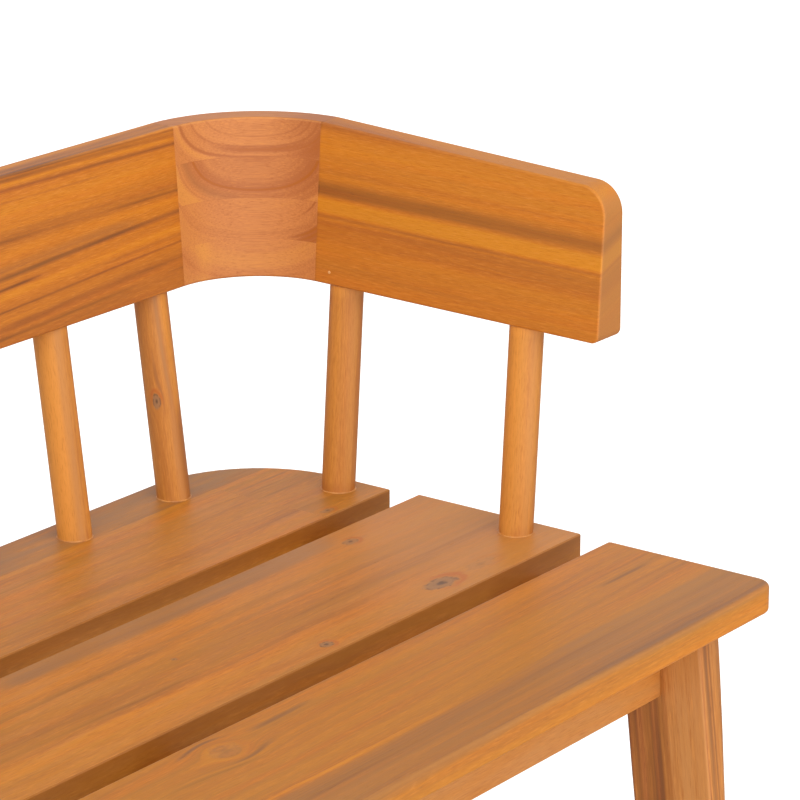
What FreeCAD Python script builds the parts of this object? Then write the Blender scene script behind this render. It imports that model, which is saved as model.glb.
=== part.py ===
import FreeCAD, Part
import math
import os

os.makedirs("parts", exist_ok=True)

V = FreeCAD.Vector

# Driving dimensions in millimetres and degrees.
# The bench stands on z = 0, runs along X and faces -Y; right and left are as seen from its front.

# Seat boards
seat_length = 1276.0
seat_height = 440.0
slat_thickness = 20.0
front_slat_width = 135.6
middle_slat_width = 140.0
rear_inner_width = 101.5
rear_outer_width = 41.0
slat_gap = 22.8
rear_slat_inset = 3.5
front_corner_radius = 14.0
rear_corner_radius = 92.0
slat_edge_chamfer = 0.8
front_slat_edge_round = 3.0
slat_corner_margin = 0.5

# Back rail, laminated corners and arms
rail_top_height = 264.7
rail_bottom_height = 150.0
rail_top_thickness = 20.3
rail_face_tilt = 4.08
rail_overhang = 3.6
arm_overhang = 5.4
corner_inner_radius = 73.5
middle_layer_height = 29.5
arm_length = 241.5
arm_top_slope = 2.89
arm_bottom_slope = 0.85
arm_nose_radius = 21.0
arm_toe_radius = 6.0
rail_edge_round = 1.6

# Spindles
spindle_diameter = 24.2
back_spindle_count = 11
back_spindle_end_distance = 108.6
back_spindle_edge_distance = 28.2
back_spindle_lean = 7.1
arm_spindle_end_distance = 23.7
arm_spindle_lean = 5.5
arm_spindle_back_tilt = 0.87
arm_spindle_rear_setback = 31.55
arm_spindle_front_setback = 38.75
spindle_socket_depth = 14.0
spindle_tenon_diameter = 14.0
spindle_tenon_length = 24.0

# Legs
leg_end_inset = 65.0
leg_front_setback = 20.0
leg_rear_setback = 39.0
leg_splay = 3.5
leg_rake = 4.0
leg_top_thickness = 24.0
leg_foot_thickness = 20.0
leg_top_depth = 64.8
leg_foot_depth = 42.0
leg_straight_drop = 130.0
leg_taper_power = 1.5
leg_inner_round = 3.0
leg_outer_round_top = 2.0
leg_outer_round_low = 12.0
leg_outer_round_drop = 200.0
leg_section_count = 9

# Frame under the seat
apron_height = 56.0
apron_thickness = 20.0
apron_setback = 31.5
side_rail_thickness = 20.0
frame_edge_round = 1.5
batten_count = 4
batten_width = 45.0
batten_thickness = 20.0
tenon_thickness = 10.0
tenon_length = 15.0
tenon_shoulder = 10.0
mortise_wall = 3.0
stub_tenon_length = 8.0
stub_tenon_shoulder = 5.0

# Dowels, screws and glides
dowel_diameter = 8.0
dowel_length = 40.0
slat_dowel_every = 3
screw_length = 32.0
screw_diameter = 4.5
screw_head_diameter = 9.0
screw_tip_length = 5.0
screw_recess_depth = 1.5
screw_recess_width = 1.1
screw_edge_distance = 14.0
glide_diameter = 17.0
glide_thickness = 3.0
glide_pin_diameter = 3.0
glide_pin_length = 12.0

# Clearances, on each side or on the radius
socket_clearance = 0.2
dowel_clearance = 0.1
tenon_clearance = 0.15
screw_clearance = 0.1
bore_end_clearance = 0.5

# Places worked out from the driving dimensions
half_length = seat_length / 2
rear_slat_width = rear_inner_width + rear_outer_width
seat_depth = front_slat_width + middle_slat_width + rear_slat_width + 2 * slat_gap
slat_bottom = seat_height - slat_thickness
small_corner_radius = slat_edge_chamfer + slat_corner_margin
front_slat_rear_radius = front_slat_edge_round + slat_corner_margin
leg_length = slat_bottom - glide_thickness
splay_run = math.tan(math.radians(leg_splay))
rake_run = math.tan(math.radians(leg_rake))
foot_reach = rake_run * leg_length - leg_front_setback

# The overall depth, from the front feet to the back of the rail, is centred on y = 0
seat_front = -(seat_depth + rail_overhang - foot_reach) / 2
front_slat_back = seat_front + front_slat_width
middle_slat_front = front_slat_back + slat_gap
middle_slat_back = middle_slat_front + middle_slat_width
rear_slat_front = middle_slat_back + slat_gap
glue_line = rear_slat_front + rear_inner_width
seat_back = seat_front + seat_depth

rail_top = seat_height + rail_top_height
rail_bottom = seat_height + rail_bottom_height
rail_height = rail_top - rail_bottom
rail_tilt_run = math.tan(math.radians(rail_face_tilt))
rail_bottom_spread = rail_tilt_run * rail_height
corner_outer_radius = corner_inner_radius + rail_top_thickness
corner_x = half_length + arm_overhang - corner_outer_radius
corner_y = seat_back + rail_overhang - corner_outer_radius
arm_top_run = math.tan(math.radians(arm_top_slope))
arm_bottom_run = math.tan(math.radians(arm_bottom_slope))
outer_layer_height = (rail_height - 2 * middle_layer_height) / 2

back_spindle_y = seat_back - back_spindle_edge_distance
back_spindle_first = half_length - back_spindle_end_distance
back_spindle_step = 2 * back_spindle_first / (back_spindle_count - 1)
arm_spindle_x = half_length - arm_spindle_end_distance
arm_spindle_places = {
    "front": middle_slat_front + arm_spindle_front_setback,
    "rear": rear_slat_front + arm_spindle_rear_setback,
}

leg_front_top = seat_front + leg_front_setback
frame_middle_y = (leg_front_top + seat_back - leg_rear_setback) / 2
apron_front = leg_front_top + apron_setback
apron_back = apron_front + apron_thickness
batten_rear = 2 * frame_middle_y - apron_back
apron_tenon_reach = apron_setback + (apron_thickness + tenon_thickness) / 2
tenon_rake = rake_run * (apron_height - tenon_shoulder)
side_tenon_length = leg_top_depth - apron_tenon_reach - tenon_rake - mortise_wall


def rounded_wire(corners):
    """Closed wire through the corners, each a point with the radius that rounds it."""
    trims = []
    for i, (point, radius) in enumerate(corners):
        if radius == 0:
            trims.append((point, None, point))
            continue
        back = (corners[i - 1][0] - point).normalize()
        ahead = (corners[(i + 1) % len(corners)][0] - point).normalize()
        half_angle = back.getAngle(ahead) / 2
        run = radius / math.tan(half_angle)
        crown = point + (back + ahead).normalize() * (radius / math.sin(half_angle) - radius)
        trims.append((point + back * run, crown, point + ahead * run))
    edges = []
    for i, (start, crown, end) in enumerate(trims):
        if crown is not None:
            edges.append(Part.Arc(start, crown, end).toShape())
        edges.append(Part.LineSegment(end, trims[(i + 1) % len(trims)][0]).toShape())
    return Part.Wire(edges)


def slanted_block(low, high):
    """Solid between two level rectangles, each given as x0, x1, y0, y1, z."""
    low_x0, low_x1, low_y0, low_y1, low_z = low
    high_x0, high_x1, high_y0, high_y1, high_z = high
    base = (low_x0, low_z, -low_y1, -high_y1, high_x0)
    crown = (low_x1, high_z, -low_y0, -high_y0, high_x1)
    block = Part.makeWedge(*base, *crown)
    block.rotate(V(0, 0, 0), V(1, 0, 0), 90)
    return block


def mirrored_x(shape):
    """The same piece on the other end of the bench."""
    return shape.mirror(V(0, 0, 0), V(1, 0, 0))


def mirrored_y(shape):
    """The same piece on the other long side of the frame under the seat."""
    return shape.mirror(V(0, frame_middle_y, 0), V(0, 1, 0))


def four_corners(shape):
    """A frame piece at the right front, repeated at every corner of the frame."""
    return [shape, mirrored_x(shape), mirrored_y(shape), mirrored_x(mirrored_y(shape))]


def square_board(corners):
    """Seat board from its plan outline, with the edges of its top and underside."""
    board = Part.Face(rounded_wire(corners)).extrude(V(0, 0, slat_thickness))
    level_edges = [edge for edge in board.Edges if edge.BoundBox.ZLength < slat_thickness / 2]
    return board, level_edges


def rounded_board(corners):
    """Seat board with rounded edges, for the front of the seat."""
    board, level_edges = square_board(corners)
    return board.makeFillet(front_slat_edge_round, level_edges)


def chamfered_board(corners):
    """Seat board with its edges only broken, for the rest of the seat."""
    board, level_edges = square_board(corners)
    return board.makeChamfer(slat_edge_chamfer, level_edges)


def seat_outline(half, front, back, front_radius, back_radius):
    """Plan corners of a seat board at the boards' underside."""
    return [
        (V(-half, front, slat_bottom), front_radius),
        (V(half, front, slat_bottom), front_radius),
        (V(half, back, slat_bottom), back_radius),
        (V(-half, back, slat_bottom), back_radius),
    ]


def slab(low_z, high_z):
    """Level slab wider than the bench, for cutting a piece at two heights."""
    reach = seat_length
    return Part.makeBox(2 * reach, 2 * reach, high_z - low_z, V(-reach, -reach, low_z))


def rail_section(origin, outward):
    """Cross-section of the rail: upright outside, leaning inside, rounded edges."""
    corners = [
        origin + V(0, 0, rail_top),
        origin + outward * rail_top_thickness + V(0, 0, rail_top),
        origin + outward * rail_top_thickness + V(0, 0, rail_bottom),
        origin - outward * rail_bottom_spread + V(0, 0, rail_bottom),
    ]
    return Part.Face(rounded_wire([(corner, rail_edge_round) for corner in corners]))


def build_back_rail():
    """Straight board along the back, between the two corners."""
    section = rail_section(V(-corner_x, corner_y + corner_inner_radius, 0), V(0, 1, 0))
    return section.extrude(V(2 * corner_x, 0, 0))


def build_corner_layers():
    """Quarter-round right corner, glued up from four boards; bottom layer first."""
    section = rail_section(V(corner_x + corner_inner_radius, corner_y, 0), V(1, 0, 0))
    corner = section.revolve(V(corner_x, corner_y, 0), V(0, 0, 1), 90)
    layers = []
    for low, high in layer_heights():
        layers.append(corner.common(slab(low, high)))
    return layers


def layer_heights():
    """Bottom and top of each corner layer."""
    levels = [rail_bottom]
    for height in (outer_layer_height, middle_layer_height, middle_layer_height, outer_layer_height):
        levels.append(levels[-1] + height)
    return list(zip(levels[:-1], levels[1:]))


def build_arm():
    """Right arm: a tapered board with a round nose and the rail's leaning inner face."""
    inner_top = corner_x + corner_inner_radius
    outer = inner_top + rail_top_thickness
    nose_y = corner_y - arm_length
    side = [
        (V(0, corner_y, rail_top), 0),
        (V(0, nose_y, rail_top - arm_top_run * arm_length), arm_nose_radius),
        (V(0, nose_y, rail_bottom - arm_bottom_run * arm_length), arm_toe_radius),
        (V(0, corner_y, rail_bottom), 0),
    ]
    blank = Part.Face(rounded_wire(side)).extrude(V(outer, 0, 0))
    lowest = rail_bottom - rail_height
    profile = Part.makePolygon([
        V(inner_top, corner_y, rail_top),
        V(outer, corner_y, rail_top),
        V(outer, corner_y, lowest),
        V(inner_top - rail_tilt_run * (rail_top - lowest), corner_y, lowest),
        V(inner_top, corner_y, rail_top),
    ])
    arm = blank.common(Part.Face(profile).extrude(V(0, -arm_length, 0)))
    rim = []
    for edge in arm.Edges:
        box = edge.BoundBox
        at_joint = box.YMin > corner_y - rail_edge_round
        across = box.XLength > rail_top_thickness / 2
        if not at_joint and not across:
            rim.append(edge)
    return arm.makeFillet(rail_edge_round, rim)


def rail_middle(z):
    """Distance of the rail's mid-thickness from its inner top edge at a height."""
    return (rail_top_thickness - rail_tilt_run * (rail_top - z)) / 2


def rail_dowel_axes():
    """Right corner's dowels at both joints, one in each layer above the spindles' tenons."""
    axes = []
    for low, high in layer_heights()[1:]:
        z = (low + high) / 2
        radius = corner_inner_radius + rail_middle(z)
        axes.append((V(corner_x, corner_y + radius, z), V(1, 0, 0)))
        axes.append((V(corner_x + radius, corner_y, z), V(0, 1, 0)))
    return axes


def slat_dowel_axes():
    """Dowels across the glue line of the rear seat board, midway between two spindles."""
    axes = []
    for i in range(0, back_spindle_count - 1, slat_dowel_every):
        x = -back_spindle_first + (i + 0.5) * back_spindle_step
        axes.append((V(x, glue_line, seat_height - slat_thickness / 2), V(0, 1, 0)))
    return axes


def dowel(centre, direction):
    """Dowel centred on a joint."""
    start = centre - direction * (dowel_length / 2)
    return Part.makeCylinder(dowel_diameter / 2, dowel_length, start, direction)


def dowel_bore(centre, direction):
    """Bore that a dowel is glued into, a little longer than the dowel."""
    length = dowel_length + 2 * bore_end_clearance
    start = centre - direction * (length / 2)
    return Part.makeCylinder(dowel_diameter / 2 + dowel_clearance, length, start, direction)


def spindle_axis(lean_x, lean_y):
    """Unit direction of a spindle that leans by the given angles."""
    return V(math.tan(math.radians(lean_x)), math.tan(math.radians(lean_y)), 1).normalize()


def above_rail(run):
    """Everything above the rail's underside, which falls towards the front by the given run."""
    reach = seat_length
    block = Part.makeBox(2 * reach, 2 * reach, rail_height, V(-reach, corner_y - reach, rail_bottom))
    block.rotate(V(0, corner_y, rail_bottom), V(1, 0, 0), math.degrees(math.atan(run)))
    return block


def build_spindle(foot, direction, underside_run):
    """Spindle with its foot in the seat and a tenon in the rail, shouldered to the rail's underside."""
    underside = rail_bottom - underside_run * (corner_y - foot.y)
    start = foot - direction * spindle_socket_depth
    to_rail = (underside - start.z) / direction.z
    body = Part.makeCylinder(spindle_diameter / 2, to_rail + spindle_diameter, start, direction)
    body = body.cut(above_rail(underside_run))
    tenon = Part.makeCylinder(spindle_tenon_diameter / 2, to_rail + spindle_tenon_length, start, direction)
    return body.fuse(tenon).removeSplitter()


def spindle_socket(foot, direction):
    """Hole for the foot of a spindle in a seat board."""
    start = foot - direction * spindle_socket_depth
    length = 2 * spindle_socket_depth
    return Part.makeCylinder(spindle_diameter / 2 + socket_clearance, length, start, direction)


def spindle_mortise(foot, direction, underside_run):
    """Hole for the tenon of a spindle in the rail or an arm."""
    underside = rail_bottom - underside_run * (corner_y - foot.y)
    at_rail = foot + direction * ((underside - foot.z) / direction.z)
    start = at_rail - direction * spindle_tenon_length
    length = 2 * spindle_tenon_length + bore_end_clearance
    return Part.makeCylinder(spindle_tenon_diameter / 2 + socket_clearance, length, start, direction)


def ease(share):
    """Smooth step from 0 to 1."""
    share = min(max(share, 0), 1)
    return share * share * (3 - 2 * share)


def leg_inner_x(drop):
    """Inner face of the right legs at a drop below the seat boards."""
    return half_length - leg_end_inset + splay_run * drop


def leg_front_y(drop):
    """Front face of the front legs at a drop below the seat boards."""
    return leg_front_top - rake_run * drop


def leg_depth(drop):
    """Front-to-back size of a leg, which narrows below its straight top."""
    share = max(0, drop - leg_straight_drop) / (leg_length - leg_straight_drop)
    return leg_top_depth + (leg_foot_depth - leg_top_depth) * share ** leg_taper_power


def leg_thickness(drop):
    """Side-to-side size of a leg."""
    return leg_top_thickness + (leg_foot_thickness - leg_top_thickness) * drop / leg_length


def leg_outer_round(drop):
    """Radius of a leg's outer edges, which soften below the seat."""
    share = ease(drop / leg_outer_round_drop)
    return leg_outer_round_top + (leg_outer_round_low - leg_outer_round_top) * share


def leg_section(drop):
    """Outline of the right front leg at a drop below the seat boards."""
    inner = leg_inner_x(drop)
    outer = inner + leg_thickness(drop)
    front = leg_front_y(drop)
    rear = front + leg_depth(drop)
    z = slat_bottom - drop
    outer_round = leg_outer_round(drop)
    return rounded_wire([
        (V(inner, front, z), leg_inner_round),
        (V(outer, front, z), outer_round),
        (V(outer, rear, z), outer_round),
        (V(inner, rear, z), leg_inner_round),
    ])


def tenon_levels(height, shoulder, grow):
    """Drops of the top and bottom of a tenon, grown by a clearance."""
    return shoulder - grow, height - shoulder + grow


def apron_tenon(grow, extra):
    """Tenon of the front apron in the right front leg, or its mortise when grown."""
    middle = (apron_front + apron_back) / 2
    y0 = middle - tenon_thickness / 2 - grow
    y1 = middle + tenon_thickness / 2 + grow
    rings = []
    for drop in tenon_levels(apron_height, tenon_shoulder, grow):
        face = leg_inner_x(drop)
        rings.append((face - tenon_length, face + tenon_length + extra, y0, y1, slat_bottom - drop))
    return slanted_block(rings[1], rings[0])


def side_rail_tenon(grow, extra):
    """Front tenon of the right side rail, or its mortise in the leg when grown."""
    rings = []
    for drop in tenon_levels(apron_height, tenon_shoulder, grow):
        x0 = leg_inner_x(drop) + (side_rail_thickness - tenon_thickness) / 2 - grow
        face = leg_front_y(drop) + leg_top_depth
        y0 = face - side_tenon_length - extra
        rings.append((x0, x0 + tenon_thickness + 2 * grow, y0, face + tenon_length, slat_bottom - drop))
    return slanted_block(rings[1], rings[0])


def leg_blank():
    """Right front leg before its joints are cut."""
    drops = [leg_length * i / (leg_section_count - 1) for i in range(leg_section_count)]
    return Part.makeLoft([leg_section(drop) for drop in drops], True, False)


def build_leg():
    """Right front leg with the mortises of its apron and side rail and the hole of its glide."""
    leg = leg_blank().cut(apron_tenon(tenon_clearance, bore_end_clearance))
    leg = leg.cut(side_rail_tenon(tenon_clearance, bore_end_clearance))
    bore = glide_pin_diameter / 2 + dowel_clearance
    bore_length = glide_pin_length + bore_end_clearance
    return leg.cut(Part.makeCylinder(bore, bore_length, V(foot_x, foot_y, glide_thickness)))


def round_lower_edges(rail):
    """Round the two long lower edges of an apron or side rail."""
    middle = slat_bottom - apron_height / 2
    lower = [edge for edge in rail.Edges if edge.BoundBox.ZMax < middle]
    return rail.makeFillet(frame_edge_round, [edge for edge in lower if edge.Length > apron_height])


def build_apron():
    """Front apron between the legs, tenoned into both, with mortises for the battens."""
    rings = []
    for drop in (apron_height, 0):
        reach = leg_inner_x(drop)
        rings.append((-reach, reach, apron_front, apron_back, slat_bottom - drop))
    apron = slanted_block(*rings)
    tenon = apron_tenon(0, 0)
    apron = round_lower_edges(apron).fuse([tenon, mirrored_x(tenon)]).removeSplitter()
    return apron.cut([batten_tenon(x, tenon_clearance, bore_end_clearance) for x in batten_places()])


def build_side_rail():
    """Right side rail between the front and rear legs, flush with their leaning inner faces."""
    rings = []
    for drop in (apron_height, 0):
        x0 = leg_inner_x(drop)
        y0 = leg_front_y(drop) + leg_top_depth
        y1 = 2 * frame_middle_y - y0
        rings.append((x0, x0 + side_rail_thickness, y0, y1, slat_bottom - drop))
    leg = leg_blank()
    rail = round_lower_edges(slanted_block(*rings)).cut([leg, mirrored_y(leg)])
    tenon = side_rail_tenon(0, 0)
    return rail.fuse([tenon, mirrored_y(tenon)]).removeSplitter()


def batten_places():
    """Left side of each batten at its top; the end ones lie against the side rails."""
    reach = leg_inner_x(0)
    step = (2 * reach - batten_width) / (batten_count - 1)
    return [-reach + i * step for i in range(batten_count)]


def is_end_batten(x):
    """Whether a batten lies against a side rail."""
    return x in (batten_places()[0], batten_places()[-1])


def batten_tenon(x, grow, extra):
    """Front stub tenon of a batten, or its mortise in the apron when grown."""
    x0 = x + stub_tenon_shoulder - grow
    width = batten_width - 2 * stub_tenon_shoulder + 2 * grow
    height = batten_thickness - 2 * stub_tenon_shoulder + 2 * grow
    z0 = slat_bottom - batten_thickness + stub_tenon_shoulder - grow
    length = 2 * stub_tenon_length + extra
    return Part.makeBox(width, length, height, V(x0, apron_back - stub_tenon_length - extra, z0))


def screw_places():
    """Places across the seat where screws go up into the boards, two for each board."""
    places = []
    for front, back in (
        (apron_back, front_slat_back),
        (middle_slat_front, middle_slat_back),
        (rear_slat_front, batten_rear),
    ):
        places.extend([front + screw_edge_distance, back - screw_edge_distance])
    return places


def screw_points():
    """Centres of the screw heads on the undersides of the battens."""
    z = slat_bottom - batten_thickness
    return [V(x + batten_width / 2, y, z) for x in batten_places() for y in screw_places()]


def screw_body(point, grow, extra):
    """Countersunk screw pointing up, or its hole when grown."""
    head = screw_head_diameter / 2 + grow
    shank = screw_diameter / 2 + grow
    sink = head - shank
    top = screw_length + extra
    profile = Part.makePolygon([
        point,
        point + V(head, 0, 0),
        point + V(shank, 0, sink),
        point + V(shank, 0, top - screw_tip_length),
        point + V(0, 0, top),
        point,
    ])
    return Part.Face(profile).revolve(point, V(0, 0, 1), 360)


def build_screw(point):
    """Screw with a cross recess in its head."""
    screw = screw_body(point, 0, 0)
    length = screw_diameter
    for size_x, size_y in ((length, screw_recess_width), (screw_recess_width, length)):
        corner = point - V(size_x / 2, size_y / 2, 0)
        screw = screw.cut(Part.makeBox(size_x, size_y, screw_recess_depth, corner))
    return screw


def build_batten(x):
    """Flat bearer under the boards, from apron to apron, with a stub tenon at each end."""
    rings = []
    for drop in (batten_thickness, 0):
        lean = splay_run * drop if is_end_batten(x) else 0
        low_x = x - lean if x < 0 else x
        high_x = x + batten_width + lean if x > 0 else x + batten_width
        rings.append((low_x, high_x, apron_back, batten_rear, slat_bottom - drop))
    tenon = batten_tenon(x, 0, 0)
    batten = slanted_block(*rings).fuse([tenon, mirrored_y(tenon)]).removeSplitter()
    holes = [screw_body(p, screw_clearance, bore_end_clearance) for p in screw_points()]
    return batten.cut(holes)


def build_glide():
    """Round glide under the right front foot, with its pin."""
    disc = Part.makeCylinder(glide_diameter / 2, glide_thickness, V(foot_x, foot_y, 0))
    pin = Part.makeCylinder(glide_pin_diameter / 2, glide_thickness + glide_pin_length, V(foot_x, foot_y, 0))
    return disc.fuse(pin).removeSplitter()


foot_x = leg_inner_x(leg_length) + leg_foot_thickness / 2
foot_y = leg_front_y(leg_length) + leg_foot_depth / 2

nodes = {}

# Spindle places: foot on the seat, direction, run of the rail's underside, name
spindles = []
back_direction = spindle_axis(0, back_spindle_lean)
for i in range(back_spindle_count):
    foot = V(-back_spindle_first + i * back_spindle_step, back_spindle_y, seat_height)
    spindles.append((f"back_spindle_{i + 1:02d}", foot, back_direction, 0))
for side, sign in (("right", 1), ("left", -1)):
    direction = spindle_axis(sign * arm_spindle_lean, arm_spindle_back_tilt)
    for place, y in arm_spindle_places.items():
        foot = V(sign * arm_spindle_x, y, seat_height)
        spindles.append((f"arm_spindle_{side}_{place}", foot, direction, arm_bottom_run))
for name, foot, direction, run in spindles:
    nodes[name] = build_spindle(foot, direction, run)
sockets = [spindle_socket(foot, direction) for name, foot, direction, run in spindles]
mortises = [spindle_mortise(foot, direction, run) for name, foot, direction, run in spindles]

# Seat boards
screw_holes = [screw_body(point, screw_clearance, bore_end_clearance) for point in screw_points()]
board_holes = sockets + screw_holes
front_outline = seat_outline(
    half_length, seat_front, front_slat_back, front_corner_radius, front_slat_rear_radius
)
middle_outline = seat_outline(
    half_length, middle_slat_front, middle_slat_back, small_corner_radius, small_corner_radius
)
rear_outline = seat_outline(
    half_length - rear_slat_inset, rear_slat_front, seat_back, small_corner_radius, rear_corner_radius
)
nodes["front_seat_slat"] = rounded_board(front_outline).cut(board_holes)
nodes["middle_seat_slat"] = chamfered_board(middle_outline).cut(board_holes)
slat_dowel_bores = [dowel_bore(*axis) for axis in slat_dowel_axes()]
rear_board = chamfered_board(rear_outline).cut(board_holes + slat_dowel_bores)
inner_half = Part.makeBox(
    seat_length, rear_inner_width, slat_thickness, V(-half_length, rear_slat_front, slat_bottom)
)
nodes["rear_seat_board_inner"] = rear_board.common(inner_half)
nodes["rear_seat_board_outer"] = rear_board.cut(inner_half)
nodes["rear_seat_dowels"] = Part.makeCompound([dowel(*axis) for axis in slat_dowel_axes()])

# Back rail, corners and arms
right_bores = [dowel_bore(*axis) for axis in rail_dowel_axes()]
left_bores = [mirrored_x(bore) for bore in right_bores]
nodes["back_rail"] = build_back_rail().cut(right_bores + left_bores + mortises)
for i, layer in enumerate(build_corner_layers()):
    layer = layer.cut(right_bores)
    nodes[f"corner_layer_right_{i + 1}"] = layer
    nodes[f"corner_layer_left_{i + 1}"] = mirrored_x(layer)
arm = build_arm().cut(right_bores + mortises)
nodes["arm_right"] = arm
nodes["arm_left"] = mirrored_x(arm)
right_dowels = [dowel(*axis) for axis in rail_dowel_axes()]
nodes["rail_dowels"] = Part.makeCompound(right_dowels + [mirrored_x(peg) for peg in right_dowels])

# Legs and frame
corner_names = ["front_right", "front_left", "rear_right", "rear_left"]
for name, leg in zip(corner_names, four_corners(build_leg())):
    nodes[f"leg_{name}"] = leg
nodes["foot_glides"] = Part.makeCompound(four_corners(build_glide()))
apron = build_apron()
nodes["front_apron"] = apron
nodes["rear_apron"] = mirrored_y(apron)
side_rail = build_side_rail()
nodes["side_rail_right"] = side_rail
nodes["side_rail_left"] = mirrored_x(side_rail)
for i, x in enumerate(batten_places()):
    nodes[f"seat_batten_{i + 1}"] = build_batten(x)
nodes["slat_screws"] = Part.makeCompound([build_screw(point) for point in screw_points()])

for name, shape in nodes.items():
    shape.exportStep(f"parts/{name}.step")
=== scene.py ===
import math
from dataclasses import dataclass, field

import bpy
from bpy.props import FloatProperty, FloatVectorProperty, PointerProperty
from bpy.types import Operator, Panel, PropertyGroup
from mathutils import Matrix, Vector


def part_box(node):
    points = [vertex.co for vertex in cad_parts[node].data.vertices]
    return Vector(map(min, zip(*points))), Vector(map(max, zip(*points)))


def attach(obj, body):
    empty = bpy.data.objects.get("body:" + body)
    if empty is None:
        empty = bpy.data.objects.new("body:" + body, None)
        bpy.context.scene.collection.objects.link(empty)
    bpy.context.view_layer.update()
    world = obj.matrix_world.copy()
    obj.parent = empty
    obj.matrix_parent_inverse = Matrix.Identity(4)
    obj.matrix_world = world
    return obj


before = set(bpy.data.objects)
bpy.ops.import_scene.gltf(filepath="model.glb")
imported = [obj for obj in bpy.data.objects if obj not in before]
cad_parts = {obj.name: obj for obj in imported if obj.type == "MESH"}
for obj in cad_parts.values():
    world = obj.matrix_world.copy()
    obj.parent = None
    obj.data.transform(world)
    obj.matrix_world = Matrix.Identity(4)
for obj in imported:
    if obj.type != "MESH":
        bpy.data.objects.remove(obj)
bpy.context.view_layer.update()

bl_info = {
    "name": "Garden Bench Finish",
    "version": (1, 0, 0),
    "blender": (4, 5, 0),
    "location": "View3D > Sidebar > Bench",
    "description": "Oiled wood, glue beads, fixings and a studio for a wooden garden bench",
    "category": "Object",
}

# Grain is described in millimetres, and the frame is in metres
MM = 1000.0

X_AXIS = Vector((1, 0, 0))
Y_AXIS = Vector((0, 1, 0))
Z_AXIS = Vector((0, 0, 1))


def low(node):
    """Lowest corner of a node of the frame, in millimetres."""
    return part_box(node)[0] * MM


def high(node):
    """Highest corner of a node of the frame, in millimetres."""
    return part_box(node)[1] * MM


# Places that the figure of the wood and the small pieces are set out from
seat_top = high("middle_seat_slat").z
seat_under = low("middle_seat_slat").z
seat_end = high("middle_seat_slat").x
rail_under = low("back_rail").z
rail_end = high("back_rail").x
glue_line = low("rear_seat_board_outer").y
arm_rear = high("arm_right").y
leg_splay = math.radians(3.5)
leg_rake = math.radians(4.0)
leg_end_inset = 65.0
leg_front_setback = 20.0
spindle_radius = 12.1
spindle_sink = 14.0
back_lean = math.radians(7.1)
arm_lean = math.radians(5.5)
arm_back_lean = math.radians(0.87)
arm_under_slope = math.radians(0.85)
arm_face_lean = math.tan(math.radians(4.08))
arm_top_thickness = 20.3
back_spindles = sorted(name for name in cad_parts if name.startswith("back_spindle"))
arm_spindles = sorted(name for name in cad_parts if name.startswith("arm_spindle"))


class Shade:
    """A socket of a node tree, used in Python sums; each sum adds its Math nodes."""

    def __init__(self, tree, socket=None):
        self.tree = tree
        self.socket = socket

    def node(self, kind, inputs=None, output=0, stops=None, **settings):
        """Add a node, set it up, feed its sockets and return one of its outputs."""
        made = self.tree.nodes.new(kind)
        for name, value in settings.items():
            setattr(made, name, value)
        if stops:
            ramp = made.color_ramp
            while len(ramp.elements) < len(stops):
                ramp.elements.new(1.0)
            for element, (place, colour) in zip(ramp.elements, stops):
                element.position = place
                element.color = (*colour, 1.0)
        for key, value in (inputs or {}).items():
            if isinstance(value, Shade):
                self.tree.links.new(value.socket, made.inputs[key])
            else:
                made.inputs[key].default_value = value
        return Shade(self.tree, made.outputs[output] if made.outputs else None)

    def math(self, operation, *values):
        """A Math node on plain numbers and other sockets."""
        return self.node("ShaderNodeMath", dict(enumerate(values)), operation=operation)

    def __add__(self, other):
        return self.math("ADD", self, other)

    def __radd__(self, other):
        return self.math("ADD", other, self)

    def __sub__(self, other):
        return self.math("SUBTRACT", self, other)

    def __rsub__(self, other):
        return self.math("SUBTRACT", other, self)

    def __mul__(self, other):
        return self.math("MULTIPLY", self, other)

    def __rmul__(self, other):
        return self.math("MULTIPLY", other, self)

    def __truediv__(self, other):
        return self.math("DIVIDE", self, other)

    def __rtruediv__(self, other):
        return self.math("DIVIDE", other, self)

    def __abs__(self):
        return self.math("ABSOLUTE", self)

    def least(self, other):
        return self.math("MINIMUM", self, other)

    def most(self, other):
        return self.math("MAXIMUM", self, other)

    def root(self):
        return self.math("SQRT", self)

    def step(self, start, end, first=0.0, last=1.0):
        """Smooth step from a first to a last value between two places, which may run backwards."""
        if start > end:
            start, end, first, last = end, start, last, first
        return self.node(
            "ShaderNodeMapRange",
            {0: self, 1: start, 2: end, 3: first, 4: last},
            interpolation_type="SMOOTHSTEP",
        )

    def dot(self, direction):
        """This vector measured along a direction."""
        return self.node(
            "ShaderNodeVectorMath", {0: self, 1: direction}, output="Value", operation="DOT_PRODUCT"
        )

    def noise(self, x, y, z=0.0, detail=2.0, roughness=0.5):
        """Noise about zero, mostly within a half each way, at a place made of three sums."""
        place = self.node("ShaderNodeCombineXYZ", {0: x, 1: y, 2: z})
        value = self.node(
            "ShaderNodeTexNoise",
            {"Vector": place, "Scale": 1.0, "Detail": detail, "Roughness": roughness},
        )
        return (value - 0.5) * 2.0

    def mix(self, first, second):
        """Colour mixed by this value from the first colour to the second."""
        inputs = {0: self}
        for socket, colour in ((6, first), (7, second)):
            inputs[socket] = colour if isinstance(colour, Shade) else (*colour, 1.0)
        return self.node("ShaderNodeMix", inputs, output=2, data_type="RGBA")


# Tones at which a palette's colours lie, from dark to light
palette_tones = (0.02, 0.3, 0.55, 0.88)

# How far apart in the tree the two lengths of a spliced board grew, in millimetres
splice_jump = 700.0

# Colours from dark to light of the boards, the seat, the corners and the spindles
palettes = {
    "boards": ("deep", "brown", "body", "gold"),
    "seat": ("deep", "umber", "body", "gold"),
    "corners": ("brown", "pale_shadow", "pale", "pale_light"),
    "spindles": ("brown", "turned_shadow", "turned", "turned_light"),
}


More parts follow.
